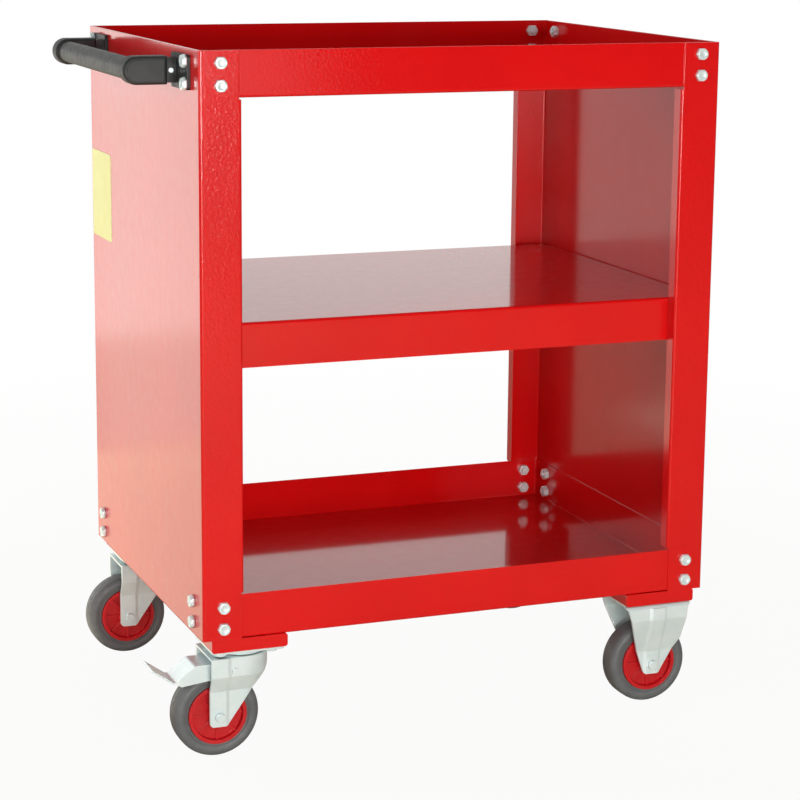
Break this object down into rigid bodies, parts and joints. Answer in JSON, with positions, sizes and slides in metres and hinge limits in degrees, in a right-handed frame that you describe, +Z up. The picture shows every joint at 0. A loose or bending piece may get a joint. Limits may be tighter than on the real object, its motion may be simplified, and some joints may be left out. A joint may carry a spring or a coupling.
{
  "type": "utility cart",
  "caption": "Red sheet-steel utility cart with top and bottom trays, a middle shelf, a push handle, swivel casters with a foot brake at the handle end and fixed casters at the other.",
  "frame": {"origin": "middle of the whole cart's footprint, on the floor the wheels stand on", "axes": "+Z up; X along the cart's length with the push handle at -X; +Y from the open front to the open back"},
  "size_m": [0.6942, 0.4856, 0.8],
  "materials": {
    "red_paint": "gloss enamel",
    "zinc": "bright zinc plate",
    "hub_red": "moulded",
    "tyre_grey": "smooth grey rubber",
    "arm_plastic": "fine grain",
    "cover_plastic": "satin",
    "tube_paint": "satin",
    "sticker_film": "blank satin film",
    "shoe_rubber": "matt"
  },
  "bodies": {
    "cart": {"bottom_tray": "red_paint", "caster_bolts": "zinc", "caster_nuts": "zinc", "flange_bolts": "zinc", "flange_nuts": "zinc", "front_handle_arm": "arm_plastic", "front_handle_cover": "cover_plastic", "front_left_king_nut": "zinc", "front_left_king_pin": "zinc", "front_left_swivel_plate": "zinc", "front_right_axle_bolt": "zinc", "front_right_axle_nut": "zinc", "front_right_axle_sleeve": "zinc", "front_right_fork": "zinc", "handle_bolts": "zinc", "handle_grub_screws": "zinc", "handle_tube": "tube_paint", "left_caster_channel": "red_paint", "left_side_panel": "red_paint", "middle_shelf": "red_paint", "panel_sticker": "sticker_film", "rear_handle_arm": "arm_plastic", "rear_handle_cover": "cover_plastic", "rear_left_king_nut": "zinc", "rear_left_king_pin": "zinc", "rear_left_swivel_plate": "zinc", "rear_right_axle_bolt": "zinc", "rear_right_axle_nut": "zinc", "rear_right_axle_sleeve": "zinc", "rear_right_fork": "zinc", "right_caster_channel": "red_paint", "right_side_panel": "red_paint", "shelf_nuts": "zinc", "shelf_studs": "zinc", "side_bolts": "zinc", "side_nuts": "zinc", "top_tray": "red_paint"},
    "front_left_fork": {"front_left_fork": "zinc", "front_left_swivel_balls": "zinc", "front_left_axle_bolt": "zinc", "front_left_axle_nut": "zinc", "front_left_axle_sleeve": "zinc", "front_left_brake_pin": "zinc"},
    "front_left_wheel": {"front_left_hub": "hub_red", "front_left_tyre": "tyre_grey"},
    "rear_left_fork": {"rear_left_fork": "zinc", "rear_left_swivel_balls": "zinc", "rear_left_axle_bolt": "zinc", "rear_left_axle_nut": "zinc", "rear_left_axle_sleeve": "zinc"},
    "rear_left_wheel": {"rear_left_hub": "hub_red", "rear_left_tyre": "tyre_grey"},
    "front_left_brake": {"front_left_brake_lever": "zinc", "front_left_brake_shoe": "shoe_rubber"},
    "front_right_wheel": {"front_right_hub": "hub_red", "front_right_tyre": "tyre_grey"},
    "rear_right_wheel": {"rear_right_hub": "hub_red", "rear_right_tyre": "tyre_grey"}
  },
  "joints": [
    {"name": "front_left_swivel", "type": "hinge", "parent": "cart", "child": "front_left_fork", "pos_m": [-0.22815, -0.1975, 0.121], "axis": [0, 0, 1], "continuous": true},
    {"name": "front_left_roll", "type": "hinge", "parent": "front_left_fork", "child": "front_left_wheel", "pos_m": [-0.25915, -0.1975, 0.05], "axis": [0, 1, 0], "continuous": true},
    {"name": "rear_left_swivel", "type": "hinge", "parent": "cart", "child": "rear_left_fork", "pos_m": [-0.22815, 0.1975, 0.121], "axis": [0, 0, 1], "continuous": true},
    {"name": "rear_left_roll", "type": "hinge", "parent": "rear_left_fork", "child": "rear_left_wheel", "pos_m": [-0.25915, 0.1975, 0.05], "axis": [0, 1, 0], "continuous": true},
    {"name": "front_right_roll", "type": "hinge", "parent": "cart", "child": "front_right_wheel", "pos_m": [0.28685, -0.1975, 0.05], "axis": [0, 1, 0], "continuous": true},
    {"name": "rear_right_roll", "type": "hinge", "parent": "cart", "child": "rear_right_wheel", "pos_m": [0.28685, 0.1975, 0.05], "axis": [0, 1, 0], "continuous": true},
    {"name": "front_left_brake_pedal", "type": "hinge", "parent": "front_left_fork", "child": "front_left_brake", "pos_m": [-0.24265, -0.1975, 0.105], "axis": [0, -1, 0], "range_deg": [0, 7]}
  ]
}
